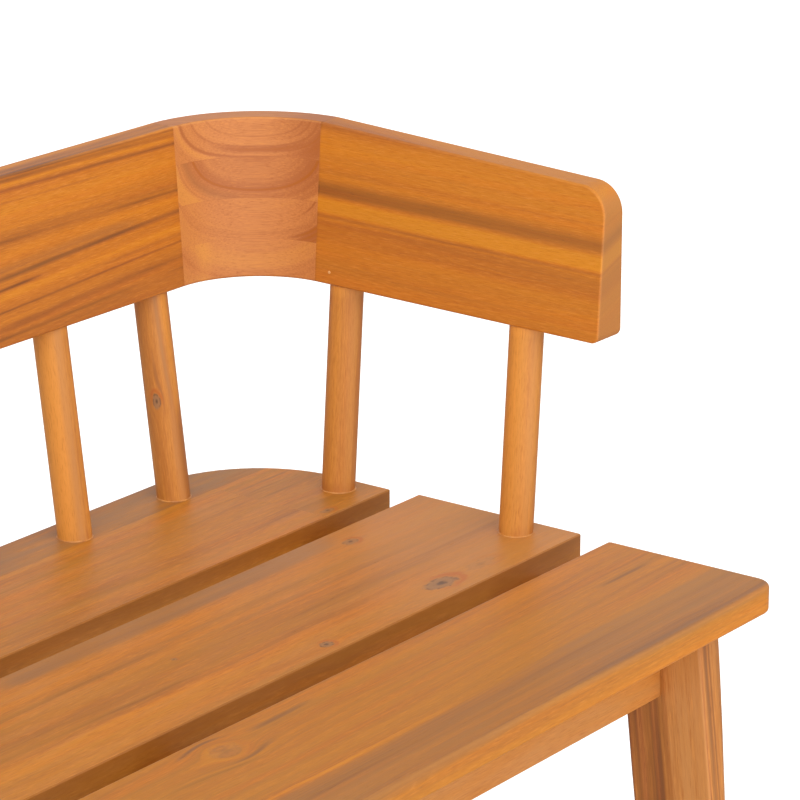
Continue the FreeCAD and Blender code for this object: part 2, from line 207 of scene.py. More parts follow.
@dataclass
class Streak:
    """A band along the grain, mostly the wood's figure but painted light and shade on the spindles and leg
    tops:
    its place among the rings, its half width, how much lighter it is,
    where along the board it starts and ends, how soft, grey and pale it is and how long its ends fade."""

    place: float
    half_width: float
    tone: float
    start: float = None
    end: float = None
    soft: float = 1.0
    grey: float = 0.0
    pale: float = 0.0
    fade: float = 15.0


@dataclass
class Knot:
    """A knot: its place along and across the grain, radius, stretch along the grain and darkness."""

    along: float
    across: float
    radius: float
    stretch: float = 1.6
    dark: float = 0.8


@dataclass
class Board:
    """How one piece of wood was sawn, in millimetres: its grain's directions, its figure and the light and
    shade painted on some boards.
    """

    name: str
    along: Vector
    across: Vector
    # How the rings cross the board: lean with depth from the heart, slope about a middle, and bends
    lean: float = 0.5
    heart: float = 0.0
    slope: float = 0.0
    middle: float = 0.0
    bend: float = 5.0
    # The draw of its chance figure, its tone, and how strong its broad to fine lines and fibres are
    seed: float = 0.0
    tone: float = 0.5
    broad: float = 0.35
    medium: float = 0.22
    fine: float = 0.16
    fibre: float = 0.06
    # Size of the fibres and strength of their flecks, and how patchy, wide and long the figure is
    fibre_size: float = 0.8
    fibre_length: float = 15.0
    fleck: float = 0.35
    patchy: float = 0.8
    spread: float = 1.0
    length: float = 1.0
    # Shares of the tints, pores, end grain and sanded edges
    red: float = 0.3
    olive: float = 0.3
    tan: float = 0.0
    grey: float = 0.0
    pores: float = 0.3
    ends: float = 0.55
    edges: float = 0.3
    # Figure given one by one; seams lie across and butts along the grain, each a place, reach and darkness
    # Some streaks and butts are painted light and shade: on the spindles, at the tops of the legs and on
    # the corners
    streaks: list = field(default_factory=list)
    knots: list = field(default_factory=list)
    seams: list = field(default_factory=list)
    butts: list = field(default_factory=list)
    # Where two lengths meet, the pith of round rings, colours, a curved plan, painted shade in the seat's
    # gaps and own rings
    splice: float = None
    pith: tuple = None
    palette: str = "boards"
    round_plan: bool = False
    painted_gap_shade: float = 0.0
    flow: object = None


def new_material(name):
    """An empty material with the start of its shader sums."""
    material = bpy.data.materials.new(name)
    material.use_nodes = True
    material.node_tree.nodes.clear()
    return material, Shade(material.node_tree)


def finish_surface(start, inputs, height=None, bump_distance=0.0):
    """Close a material: one surface shader, with a bump where a height is given."""
    if height is not None:
        bump = {"Strength": 1.0, "Distance": bump_distance, "Height": height}
        inputs["Normal"] = start.node("ShaderNodeBump", bump)
    surface = start.node("ShaderNodeBsdfPrincipled", inputs)
    start.node("ShaderNodeOutputMaterial", {"Surface": surface})


def ring_place(start, board, along, across, depth):
    """Place among the growth rings, in millimetres, with the grain's slow bends."""
    if board.flow is not None:
        rings = board.flow(start, along, across, depth)
    elif board.pith is not None:
        inward, upward = depth - board.pith[0], across - board.pith[1]
        rings = (inward * inward + upward * upward).root()
    else:
        rings = across + (depth - board.heart) * board.lean + (along - board.middle) * board.slope
    slow = start.noise(along / 190 + board.seed, across / 50, depth / 50, detail=1.0)
    quick = start.noise(along / 45 + board.seed, across / 10, depth / 10, detail=1.0)
    return rings + slow * board.bend + quick * (board.bend * 0.2)


def turn_round_knots(start, board, rings, along, across):
    """Rings pushed aside by the knots, with the masks of their rings, discs and dark hearts."""
    masks = {}
    wobble = start.noise(along / 6 + board.seed, across / 5, detail=1.0)
    broken = start.noise(along / 4 + board.seed, across / 2.5, board.seed, detail=1.0)
    for knot in board.knots:
        off_along = (along - knot.along) / knot.stretch
        off_across = across - knot.across
        flat = off_along * off_along
        tall = off_across * off_across
        size = knot.radius ** 2
        rings = rings - off_across * (size * 2.2) / (flat + tall + size * 0.6)
        distance = (flat + tall).root() + wobble * (0.3 * knot.radius)
        core = distance.step(knot.radius * 0.5, knot.radius * 0.1)
        rim = abs(distance - knot.radius * 0.9).step(knot.radius * 0.25, 0.0) * broken.step(-0.15, 0.3)
        beside = off_along.step(-knot.radius, knot.radius)
        parts = {
            "ring": abs(distance - knot.radius * 1.35).step(knot.radius * 0.5, 0.0) * beside * knot.dark,
            "disc": distance.step(knot.radius * 1.2, knot.radius * 0.7) * knot.dark,
            "heart": core.most(rim * 0.7) * knot.dark,
        }
        for name, mask in parts.items():
            masks[name] = masks[name].most(mask) if name in masks else mask
    return rings, masks


def streak_bands(start, board, tone, rings, along):
    """Tone with the board's own streaks laid over it, patchy along their length, and their tints."""
    patchy = 1.0 + start.noise(along / 90 + board.seed, rings / 7, board.seed, detail=2.0) * board.patchy
    tints = {}
    for streak in board.streaks:
        hard = streak.half_width * (1.0 - streak.soft)
        band = abs(rings - streak.place).step(streak.half_width, hard)
        if streak.start is not None:
            band = band * along.step(streak.start - streak.fade, streak.start + streak.fade)
        if streak.end is not None:
            band = band * along.step(streak.end + streak.fade, streak.end - streak.fade)
        band = band * patchy
        tone = tone + band * streak.tone
        for tint, share in (("tan", streak.pale), ("grey", streak.grey)):
            if share > 0:
                tints[tint] = tints[tint].most(band * share) if tint in tints else band * share
    return tone, tints


def edge_mask(start, board):
    """One on rounded edges, where the surface turns from one face to the next."""
    normal = start.node("ShaderNodeNewGeometry", output="Normal")
    side = abs(normal.dot(X_AXIS))
    front = abs(normal.dot(Y_AXIS))
    level = abs(normal.dot(Z_AXIS))
    if board.round_plan:
        second = (side * side + front * front).root().least(level)
    else:
        second = side.least(front).most(side.most(front).least(level))
    return second.step(0.2, 0.6)


def wood_material(board, wood):
    """Oiled wood for one board, from its description and the bench's colours."""
    material, start = new_material(board.name)
    place = start.node("ShaderNodeTexCoord", output="Object")
    along = place.dot(board.along * MM)
    across = place.dot(board.across * MM)
    depth = place.dot(board.along.cross(board.across) * MM)
    seed = board.seed
    tone = board.tone
    run = along
    if board.splice is not None:
        beyond = along.step(board.splice - 0.5, board.splice + 0.5)
        run = along + beyond * splice_jump
        tone = tone - beyond * 0.03
    rings = ring_place(start, board, run, across, depth)
    rings, knot_masks = turn_round_knots(start, board, rings, along, across)

    spread = board.spread
    reach = board.length
    broad = start.noise(run / (280 * reach) + seed, rings / (13 * spread), seed, detail=2.0)
    medium = start.noise(run / (230 * reach) + seed, rings / (4.2 * spread), seed + 5, detail=2.0)
    fine = start.noise(
        run / (110 * reach) + seed, rings / (1.3 * spread), seed + 9, detail=2.0, roughness=0.6
    )
    size = board.fibre_size
    fibre = start.noise(
        run / (board.fibre_length * size) + seed, across / size, depth / size, detail=2.0, roughness=0.6
    )
    pore = start.noise(run / (9 * size) + seed, across / (0.75 * size), depth / (0.75 * size), detail=1.0)
    pore = pore.step(0.25, 0.6)
    tone = broad * board.broad + medium * board.medium + fine * board.fine + fibre * board.fibre + tone
    tone = tone - pore * (board.pores * 0.5)
    tone, tints = streak_bands(start, board, tone, rings, along)
    for seam, half_width, darker in board.seams:
        tone = tone - abs(across - seam).step(half_width, 0.0) * darker
    for butt, half_width, darker in board.butts:
        tone = tone - abs(along - butt).step(half_width, 0.0) * darker

    colours = [tuple(getattr(wood, name)) for name in palettes[board.palette]]
    stops = list(zip(palette_tones, colours))
    colour = start.node("ShaderNodeValToRGB", {0: tone}, stops=stops)
    hue = start.noise(run / 300 + seed, rings / (9 * spread), seed + 3, detail=2.0)
    colour = (hue.step(0.02, 0.45) * board.red).mix(colour, tuple(wood.red))
    colour = (hue.step(0.4, -0.35) * board.olive).mix(colour, tuple(wood.olive))
    if board.tan > 0:
        patches = start.noise(run / 70 + seed, across / 9, depth / 9, detail=2.0)
        colour = (tone.step(0.1, 0.5) * (board.tan + patches * 0.5)).mix(colour, tuple(wood.tan))
    # Flecks on the fibres: the light ones partly their own colour and partly painted glints, the dark ones
    # fibres soaked with oil
    flecks = tone.step(0.1, 0.5) * board.fleck
    colour = (fibre.step(0.0, 0.5) * flecks).mix(colour, tuple(wood.fleck_light))
    colour = (fibre.step(0.0, -0.5) * flecks).mix(colour, tuple(wood.fleck_dark))
    for tint, share in tints.items():
        colour = share.mix(colour, tuple(getattr(wood, tint)))
    if board.grey > 0:
        mottle = start.noise(run / 60 + seed, across / 9, depth / 9, detail=2.0).step(-0.6, 0.4)
        colour = (mottle * board.grey).mix(colour, tuple(wood.grey))

    normal = start.node("ShaderNodeNewGeometry", output="Normal")
    end_face = abs(normal.dot(board.along)).step(0.6, 0.95)
    colour = (end_face * board.ends).mix(colour, tuple(wood.end_grain))
    if board.edges > 0:
        colour = (edge_mask(start, board) * board.edges).mix(colour, tuple(wood.edge))
    # Painted shade: the front faces in the seat's gaps are darkened, most just under the top edge
    if board.painted_gap_shade > 0:
        facing = normal.dot(-Y_AXIS).step(0.5, 0.8)
        shade = place.dot(Z_AXIS * MM).step(seat_top - 15, seat_top - 2, 0.35, 1.0) * facing
        colour = (shade * board.painted_gap_shade).mix(colour, tuple(wood.shadow))
    for name, tint in (("ring", wood.red), ("disc", wood.knot_disc), ("heart", wood.knot)):
        if name in knot_masks:
            colour = knot_masks[name].mix(colour, tuple(tint))

    inputs = {
        "Base Color": colour,
        "Roughness": wood.roughness + fibre * 0.1 + pore * 0.1 + end_face * 0.08,
        "Specular IOR Level": wood.gloss,
    }
    finish_surface(start, inputs, fibre * 0.5 + fine * 0.3 - pore, wood.grain_depth)
    return material


def dress(name, material):
    """Give a node of the frame a material."""
    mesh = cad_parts[name].data
    mesh.materials.clear()
    mesh.materials.append(material)


def square_to(direction, axis):
    """A direction turned square to an axis."""
    return (direction - axis * direction.dot(axis)).normalized()


def colour_setting(name, description, default):
    """A colour that a user may change."""
    return FloatVectorProperty(name=name, description=description, default=default, subtype="COLOR")


def aim_setting(name, description, default):
    """A direction that a user may change."""
    return FloatVectorProperty(name=name, description=description, default=default, subtype="DIRECTION")


def length_setting(name, description, default):
    """A length in metres that a user may change."""
    return FloatProperty(name=name, description=description, default=default, unit="LENGTH")


def angle_setting(name, description, degrees):
    """An angle that a user may change."""
    return FloatProperty(name=name, description=description, default=math.radians(degrees), subtype="ANGLE")


def share_setting(name, description, default):
    """A share from none to all that a user may change."""
    return FloatProperty(
        name=name, description=description, default=default, min=0, max=1, subtype="FACTOR"
    )


def light_setting(name, description, default):
    """A brightness that a user may change."""
    return FloatProperty(name=name, description=description, default=default, min=0)


class BenchWood(PropertyGroup):
    """Colours and finish of the wood."""

    deep: colour_setting("Deep", "Darkest streaks", (0.165, 0.048, 0.014))
    brown: colour_setting("Brown", "Brown bands", (0.37, 0.107, 0.016))
    umber: colour_setting("Umber", "Brown bands of the seat", (0.355, 0.124, 0.020))
    body: colour_setting("Body", "Most of the wood", (0.52, 0.163, 0.013))
    gold: colour_setting("Gold", "Golden bands", (0.60, 0.217, 0.012))
    pale_shadow: colour_setting("Pale Shadow", "Ring lines of the corners", (0.37, 0.115, 0.033))
    pale: colour_setting("Pale", "Most of the corners", (0.51, 0.187, 0.052))
    pale_light: colour_setting("Pale Light", "Lightest part of the corners", (0.60, 0.25, 0.052))
    turned_shadow: colour_setting("Turned Shadow", "Dark lines of the spindles", (0.43, 0.148, 0.028))
    turned: colour_setting("Turned", "Most of the spindles", (0.565, 0.225, 0.040))
    turned_light: colour_setting("Turned Light", "Light lines of the spindles", (0.68, 0.272, 0.046))
    fleck_light: colour_setting("Light Fleck", "Fibres that catch the light", (0.70, 0.27, 0.055))
    fleck_dark: colour_setting("Dark Fleck", "Fibres soaked with oil", (0.30, 0.07, 0.003))
    tan: colour_setting("Tan", "Boards with less orange", (0.485, 0.210, 0.062))
    red: colour_setting("Red", "Reddish tint of some streaks", (0.44, 0.118, 0.020))
    olive: colour_setting("Olive", "Olive tint of other streaks", (0.44, 0.175, 0.018))
    grey: colour_setting("Grey", "Greyish boards and halos of knots", (0.30, 0.137, 0.048))
    end_grain: colour_setting("End Grain", "Sawn ends of the boards", (0.32, 0.138, 0.042))
    edge: colour_setting("Edge", "Sanded edges", (0.64, 0.27, 0.05))
    knot: colour_setting("Knot", "Heart of a knot", (0.115, 0.055, 0.030))
    knot_disc: colour_setting("Knot Disc", "Greyish disc of a knot", (0.30, 0.15, 0.065))
    # Colour of the painted shade on the front faces in the seat's gaps, not of oil
    shadow: colour_setting("Shadow", "Dark oil in the gaps of the seat", (0.20, 0.06, 0.008))
    roughness: share_setting("Roughness", "Roughness of the oiled surface", 0.46)
    gloss: share_setting("Gloss", "Strength of the oil's reflection", 0.3)
    grain_depth: length_setting("Grain Depth", "Depth of the pores", 0.00006)


class BenchFittings(PropertyGroup):
    """Sizes of the glue beads and the filled brad holes."""

    bead_radius: length_setting("Bead Radius", "Radius of a bead of glue", 0.0006)
    bead_offset: length_setting("Bead Offset", "How far a bead's middle lies off its spindle", 0.0001)
    bead_unevenness: length_setting("Unevenness", "How far a bead swells and shrinks", 0.0007)
    brad_radius: length_setting("Brad Radius", "Radius of a filled brad hole", 0.00115)
    brad_dome: length_setting("Brad Dome", "How far the filler stands proud", 0.0002)
    brad_height: length_setting("Brad Height", "Height of a brad over the arm's underside", 0.0092)
    brad_offset: length_setting("Brad Offset", "Distance of a brad behind its spindle", 0.006)


class BenchStage(PropertyGroup):
    """Floor, lights and camera."""

    floor_size: length_setting("Floor Size", "Side of the square floor", 40.0)
    floor_colour: colour_setting("Floor", "Colour of the floor", (0.86, 0.86, 0.86))
    floor_glow: light_setting("Floor Glow", "Light of the floor itself, as a lit table's", 0.35)
    sky: light_setting("Sky", "Brightness of the dome overhead and behind", 0.75)
    low_sky: light_setting("Low Sky", "Brightness of the dome under the horizon", 0.45)
    front_light: light_setting("Front Light", "Brightness that the dome gains in front of the bench", 1.55)
    front_aim: aim_setting("Front Aim", "Direction of the dome's brightest part", (-0.63, -0.76, 0.15))
    backdrop: light_setting("Backdrop", "Brightness that the dome gains behind the bench", 0.08)
    back_aim: aim_setting("Back Aim", "Direction of the bright backdrop", (0.76, 0.57, 0.30))
    lens: FloatProperty(name="Lens", description="Focal length in millimetres", default=171.49, min=1)
    camera_place: FloatVectorProperty(
        name="Camera", description="Camera's place", subtype="XYZ", unit="LENGTH",
        default=(-1.4305, -1.46097, 1.3265)
    )
    camera_turn: angle_setting("Turn", "Turn of the view from +Y towards +X", 53.2034)
    camera_tilt: angle_setting("Tilt", "How far the camera looks down", 17.5955)


class BENCH_OT_seat(Operator):
    """Finish the seat boards"""

    bl_idname = "bench.seat"
    bl_label = "Seat Boards"

    def execute(self, context):
        wood = context.scene.bench_wood
        seat = {
            "along": X_AXIS, "across": Y_AXIS, "lean": 0.8, "heart": seat_top, "olive": 0.6, "red": 0.0,
            "edges": 0.05, "medium": 0.18, "fibre_size": 1.15, "fibre_length": 9.0, "pores": 0.2,
            "palette": "seat",
        }
        calm = {"broad": 0.3, "fine": 0.18, "spread": 1.5, "length": 0.8, "fleck": 0.36, "tan": 0.07}
        lined = {"broad": 0.24, "fine": 0.22, "spread": 1.2, "length": 1.7, "fleck": 0.24}
        quiet = {**calm, "broad": 0.2}
        # How much painted shade the front faces in the seat's gaps get
        painted_gap_shade = 0.66
        seams = [(glue_line, 0.8, 0.15)]
        dress("front_seat_slat", wood_material(Board(
            "front_slat_wood", **seat, **lined, tone=0.425, seed=1.3, slope=-0.01, middle=300,
            streaks=[
                Streak(-109, 4, -0.5, start=231, end=280, grey=0.4),
                Streak(-106, 3, -0.42, start=170, end=200, grey=0.5),
                Streak(-126, 2.8, -0.42, start=185, end=212, grey=0.5),
                Streak(-132, 3, -0.3, start=125, end=190),
                Streak(-117, 4, 0.3, start=165, end=205),
                Streak(-140, 1.8, -0.12, start=320, end=440),
                Streak(-144, 2.4, -0.5, start=560, end=610, grey=0.4),
                Streak(-149, 4, 0.3, start=615, end=640),
                Streak(-180.5, 2.5, 0.28, end=330),
                Streak(-224, 4, -0.2, start=400, grey=0.6, fade=60),
                Streak(-208, 26, -0.06, soft=0.15, grey=0.4),
                Streak(-243, 10, 0.1),
            ],
            knots=[Knot(191, -118, 9, stretch=1.4, dark=0.25)],
        ), wood))
        dress("middle_seat_slat", wood_material(Board(
            "middle_slat_wood", **seat, **calm, tone=0.45, seed=2.7, slope=0.01, middle=300, patchy=0.5,
            painted_gap_shade=painted_gap_shade,
            streaks=[
                Streak(58, 13, -0.18, start=190, end=520, soft=0.5, grey=0.6),
                Streak(35, 11, 0.16, soft=0.5),
                Streak(20, 5, -0.2, end=300),
                Streak(10, 5, -0.18, start=320, end=560),
                Streak(-6, 20, -0.1),
                Streak(-25, 4, -0.2, end=270),
                Streak(-42, 11, 0.16, soft=0.5),
                Streak(-62, 6, 0.12),
                # Paler right part of the slat: partly its own paler wood and partly painted sheen of the
                # oil
                Streak(0, 90, 0.0, start=470, soft=0.3, pale=0.42, fade=90),
            ],
            knots=[
                Knot(529, 47.5, 4.5, stretch=1.6, dark=0.7),
                Knot(365.5, -58.8, 4.2, stretch=1.3, dark=0.85),
                Knot(500, -51, 7.5, stretch=2.1, dark=0.85),
                Knot(547, -50, 6, stretch=2.6, dark=0.22),
                Knot(287, 2.5, 2, stretch=1.2, dark=0.6),
            ],
        ), wood))
        dress("rear_seat_board_inner", wood_material(Board(
            "rear_inner_wood", **seat, **calm, tone=0.45, seed=4.1, splice=560, painted_gap_shade=painted_gap_shade,
            streaks=[
                Streak(190, 4, 0.25),
                Streak(171, 2, -0.2, end=380),
                Streak(169, 2.5, -0.15, start=500, end=555),
                Streak(156, 2.5, -0.14, start=480, end=555),
                Streak(176, 1.8, -0.26, start=566, end=620, grey=0.3),
                Streak(167, 1.6, -0.22, start=566, end=600),
                Streak(154, 1.8, -0.25, start=566, end=595, grey=0.3),
                Streak(115, 6, -0.1),
            ],
            knots=[Knot(571, 100, 3.5, stretch=1.8, dark=0.6)],
            seams=seams,
        ), wood))
        dress("rear_seat_board_outer", wood_material(Board(
            "rear_outer_wood", **seat, **quiet, seed=5.9, tone=0.35, grey=0.8, seams=seams,
        ), wood))
        return {"FINISHED"}


def rail_flow(start, along, across, depth):
    """Rings of the back rail: they climb to the right low on it and lie level near its top."""
    slope = across.step(642, 664, 0.048, -0.008)
    wave = start.math("SINE", (along - 460) / 230) * 230
    return across - slope * wave + (depth + 218) * 0.4


class BENCH_OT_back_rail(Operator):
    """Finish the back rail"""

    bl_idname = "bench.back_rail"
    bl_label = "Back Rail"

    def execute(self, context):
        dress("back_rail", wood_material(Board(
            "back_rail_wood", X_AXIS, Z_AXIS, seed=6.2, bend=1.6, broad=0.2, medium=0.13, fine=0.1,
            fibre_size=0.6, fleck=0.35, patchy=1.1, ends=0.3, olive=0.25, red=0.3, edges=0.1,
            flow=rail_flow,
            streaks=[
                Streak(642.8, 3.0, -0.43, grey=0.1),
                Streak(647.5, 6, -0.14, end=500, grey=0.2),
                Streak(635.7, 2, -0.42, end=400),
                Streak(630.5, 4, 0.22),
                Streak(625.8, 2.5, -0.16, start=470),
                Streak(621, 1.5, -0.27),
                Streak(610.7, 4.5, -0.16),
                Streak(603.5, 2.5, -0.2),
                Streak(604, 18, -0.14, soft=0.5),
                Streak(703.5, 1.4, -0.4),
                Streak(701, 2.6, -0.3),
                Streak(694.5, 2.4, -0.3),
                Streak(698, 1.6, 0.2),
                Streak(686.5, 1.3, -0.18, end=470),
                Streak(679, 7, 0.16),
                Streak(664, 8, -0.18),
                Streak(661.5, 1.8, -0.16),
                Streak(654, 5, 0.12),
            ],
            butts=[(rail_end, 4, 0.05), (-rail_end, 4, 0.05)],
        ), context.scene.bench_wood))
        return {"FINISHED"}


class BENCH_OT_corners(Operator):
    """Finish the stacked layers of the corners"""

    bl_idname = "bench.corners"
    bl_label = "Corners"

    def execute(self, context):
        wood = context.scene.bench_wood
        turn = math.radians(6.0)
        chord = Vector((math.sin(math.pi / 4 - turn), -math.cos(math.pi / 4 - turn), 0))
        outward = Vector((math.cos(math.pi / 4 - turn), math.sin(math.pi / 4 - turn), 0))
        centre = Vector((rail_end, arm_rear, 0))
        middle = chord.dot(centre)
        arm_end = middle + 52
        shade_reach = 50
        # Each layer from the lowest up: place of its pith, tone, how much painted shade darkens its arm
        # end, streaks
        figures_and_painted_shade = {
            1: ((96, 640), 0.57, 0.03, [Streak(50, 8, 0.08)]),
            2: ((93, 660), 0.61, 0.09, [
                Streak(39.5, 0.9, -0.35, start=middle + 38),
                Streak(54, 6, -0.3, start=middle + 30, soft=0.3),
                Streak(50, 1.2, -0.3, start=middle + 30),
                Streak(53, 1.0, -0.25, start=middle + 30),
                Streak(56, 1.0, -0.25, start=middle + 30),
                Streak(21, 5, -0.14, end=middle - 5),
                Streak(21, 4, -0.12, start=middle + 20),
            ]),
            3: ((92.8, 682), 0.44, 0.1, [
                Streak(37.2, 1.0, -0.42),
                Streak(35, 5, -0.1),
                Streak(21.5, 2.2, -0.16),
                Streak(42, 4, -0.06, end=middle - 15, grey=0.25),
                Streak(53, 6, 0.3, soft=0.35),
            ]),
            4: ((83.4, 706), 0.54, 0.2, [
                Streak(18.4, 0.8, -0.14),
                Streak(25, 1.0, -0.14),
                Streak(27.2, 3.2, -0.3, start=middle - 22, end=middle + 28),
                Streak(32, 1.8, -0.22, end=middle - 12),
                Streak(29, 0.8, -0.18, start=middle + 25),
                Streak(21.5, 0.7, -0.14, start=middle + 25),
                Streak(35, 3, 0.2, end=middle - 20),
                Streak(33, 7, -0.14, start=middle + 34),
            ]),
        }
        for side, sign in (("right", 1), ("left", -1)):
            along = Vector((chord.x * sign, chord.y, 0))
            for layer, (pith, tone, darker, streaks) in figures_and_painted_shade.items():
                node = f"corner_layer_{side}_{layer}"
                pith_depth = -sign * (outward.dot(centre) + pith[0])
                # Painted shade: each layer grows darker towards its arm end, over shade_reach millimetres
                butts = [(arm_end, shade_reach, darker)]
                if layer == 1:
                    butts.append((middle - 37, 8, -0.14))
                dress(node, wood_material(Board(
                    f"corner_wood_{side}_{layer}", along, Z_AXIS, pith=(pith_depth, pith[1]),
                    seed=7.3 + 1.7 * layer + sign, tone=tone, bend=1.2, broad=0.2, medium=0.1, fine=0.1,
                    red=0.12, olive=0.05, fleck=0.28, patchy=0.5, pores=0.5, ends=0.0, edges=0.2,
                    palette="corners", round_plan=True, streaks=streaks, butts=butts,
                    seams=[(low(node).z, 0.5, 0.08), (high(node).z, 0.5, 0.08)],
                ), wood))
        return {"FINISHED"}


class BENCH_OT_arms(Operator):
    """Finish the arms"""

    bl_idname = "bench.arms"
    bl_label = "Arms"

    def execute(self, context):
        for side, sign in (("right", 1), ("left", -1)):
            dress(f"arm_{side}", wood_material(Board(
                f"arm_wood_{side}", Y_AXIS, Z_AXIS, lean=-0.36 * sign, heart=619 * sign, slope=-0.0172,
                seed=8.4 + sign, tone=0.52, bend=1.6, broad=0.14, medium=0.1, fine=0.12,
                red=0.12, olive=0.35, pores=0.3, patchy=0.3, fibre_size=0.6, fleck=0.3, edges=0.05,
                streaks=[
                    Streak(685, 10, 0.1),
                    Streak(669, 4, -0.06),
                    Streak(700, 6, -0.24),
                    Streak(656, 8, -0.36),
                    Streak(652, 3.5, -0.12),
                    Streak(643.4, 6, 0.42, soft=0.5),
                    Streak(636.2, 1.8, -0.2),
                    Streak(631.4, 4, -0.1),
                    Streak(626, 12, -0.12),
                ],
                butts=[(arm_rear, 2, 0.12)],
            ), context.scene.bench_wood))
        return {"FINISHED"}


def spindle_slope(name):
    """How far a spindle leans along X and Y on each millimetre that it rises."""
    if name in back_spindles:
        return Vector((0, math.tan(back_lean), 1))
    out = 1 if low(name).x > 0 else -1
    return Vector((out * math.tan(arm_lean), math.tan(arm_back_lean), 1))


def spindle_ends(name):
    """Where a spindle's middle line leaves the seat and meets the rail or arm, in millimetres."""
    slope = spindle_slope(name)
    low_end, high_end = low(name), high(name)
    bottom_x = high_end.x - spindle_radius if slope.x < 0 else low_end.x + spindle_radius
    foot = Vector((bottom_x, low_end.y + spindle_radius, seat_top - spindle_sink)) + slope * spindle_sink
    head_z = rail_under
    if name in arm_spindles:
        head_z -= (arm_rear - foot.y) * math.tan(arm_under_slope)
    return foot, foot + slope * (head_z - seat_top)


class BENCH_OT_spindles(Operator):
    """Finish the spindles"""

    bl_idname = "bench.spindles"
    bl_label = "Spindles"

    def execute(self, context):
        wood = context.scene.bench_wood
        # The camera's right, square to its view: streaks laid across it paint light on most spindles' left
        # sides, a painted highlight just right of the middle and painted shade on the right side
        facing = Vector((0.6, -0.8, 0))
        for i, name in enumerate(back_spindles + arm_spindles):
            axis = spindle_slope(name).normalized()
            across = square_to(facing, axis)
            foot, head = spindle_ends(name)
            middle = across.dot(foot)
            figure_and_painted_light = {
                "seed": 3.3 + 2.9 * i,
                "tone": 0.6 if i % 3 else 0.5,
                # Painted highlight just under the head and painted shade just above the seat
                "butts": [(axis.dot(head) - 2, 9, -0.25), (axis.dot(foot) + 1, 8, 0.14)],
                "streaks": [
                    Streak(middle - 9, 5, 0.14),
                    Streak(middle + 3, 6, -0.02, pale=0.45),
                    Streak(middle + 10, 6, -0.22),
                ],
            }
            if name == back_spindles[-2]:
                figure_and_painted_light["tone"] = 0.68
                # Painted light on its left side, a painted highlight and painted shade towards its right
                # side, and one thin dark line of its own
                figure_and_painted_light["streaks"] = [
                    Streak(middle - 7, 7, 0.3),
                    Streak(middle + 4, 6, -0.1, pale=0.7),
                    Streak(middle + 8, 1.2, -0.15),
                    Streak(middle + 11, 8, -0.22),
                ]
            if name == "arm_spindle_right_rear":
                figure_and_painted_light["tone"] = 0.45
            if name == back_spindles[-1]:
                figure_and_painted_light["tone"] = 0.4
                figure_and_painted_light["butts"] = []
                figure_and_painted_light["slope"] = 0.03
                figure_and_painted_light["middle"] = 550
                figure_and_painted_light["streaks"] = [
                    Streak(middle - 9, 5, -0.06),
                    Streak(middle + 2, 1.8, -0.3, start=535, grey=0.75),
                    Streak(middle + 8, 5, 0.4, start=530),
                    # Painted highlight just right of its middle
                    Streak(middle + 2, 5, 0.0, pale=0.6),
                    Streak(middle - 5, 1.5, -0.25, start=535, end=565, grey=0.5),
                    Streak(middle + 8, 7, -0.2, end=520, grey=0.4),
                ]
                figure_and_painted_light["knots"] = [Knot(535, middle - 3, 2.8, stretch=2.2, dark=0.9)]
            dress(name, wood_material(Board(
                f"{name}_wood", axis, across, lean=0.3, heart=axis.cross(across).dot(foot), bend=1.5,
                broad=0.2, medium=0.16, fine=0.16, fibre_size=0.8, fibre_length=9.0, length=0.7, fleck=0.3,
                red=0.1, olive=0.2, pores=0.25, ends=0.0, edges=0, palette="spindles", **figure_and_painted_light,
            ), wood))
        return {"FINISHED"}


class BENCH_OT_legs(Operator):
    """Finish the legs"""

    bl_idname = "bench.legs"
    bl_label = "Legs"

    def execute(self, context):
        wood = context.scene.bench_wood
        front_arris = low("front_seat_slat").y + leg_front_setback
        for i, name in enumerate(sorted(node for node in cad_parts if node.startswith("leg_"))):
            out = 1 if "right" in name else -1
            fore = 1 if "front" in name else -1
            axis = Vector((-out * math.tan(leg_splay), fore * math.tan(leg_rake), 1)).normalized()
            backwards = square_to(Y_AXIS * fore, axis)
            top = Vector((out * (seat_end - leg_end_inset), front_arris * fore, seat_under))
            arris = backwards.dot(top)
            dress(name, wood_material(Board(
                f"{name}_wood", axis, backwards, lean=out * fore, heart=axis.cross(backwards).dot(top),
                seed=5.1 + 3.1 * i, tone=0.5, bend=1.2, broad=0.16, medium=0.16, fine=0.14,
                fibre_size=1.0, red=0.2, edges=0.0, patchy=0.4, tan=0.65, fleck=0.4,
                streaks=[
                    Streak(arris, 2.5, -0.24),
                    Streak(arris + 5, 6, 0.12, soft=0.5, pale=0.5),
                    Streak(arris + 18, 5, 0.16, soft=0.4, pale=0.4),
                    Streak(arris + 27, 6, -0.08),
                    Streak(arris + 35, 7, -0.2, soft=0.6),
                    # Painted shade beside the apron's end, on the top of the leg
                    Streak(arris + 31, 10, -0.2, start=360),
                    Streak(arris + 53, 18, -0.35, soft=0.3),
                    Streak(arris + 58, 3.5, -0.08),
                    Streak(arris - 5, 4, -0.3, grey=0.4),
                    Streak(arris - 10, 2, -0.25, grey=0.3),
                    Streak(arris - 13, 12, -0.14),
                    Streak(arris - 21, 7, -0.2, grey=0.4),
                ],
            ), wood))
        return {"FINISHED"}


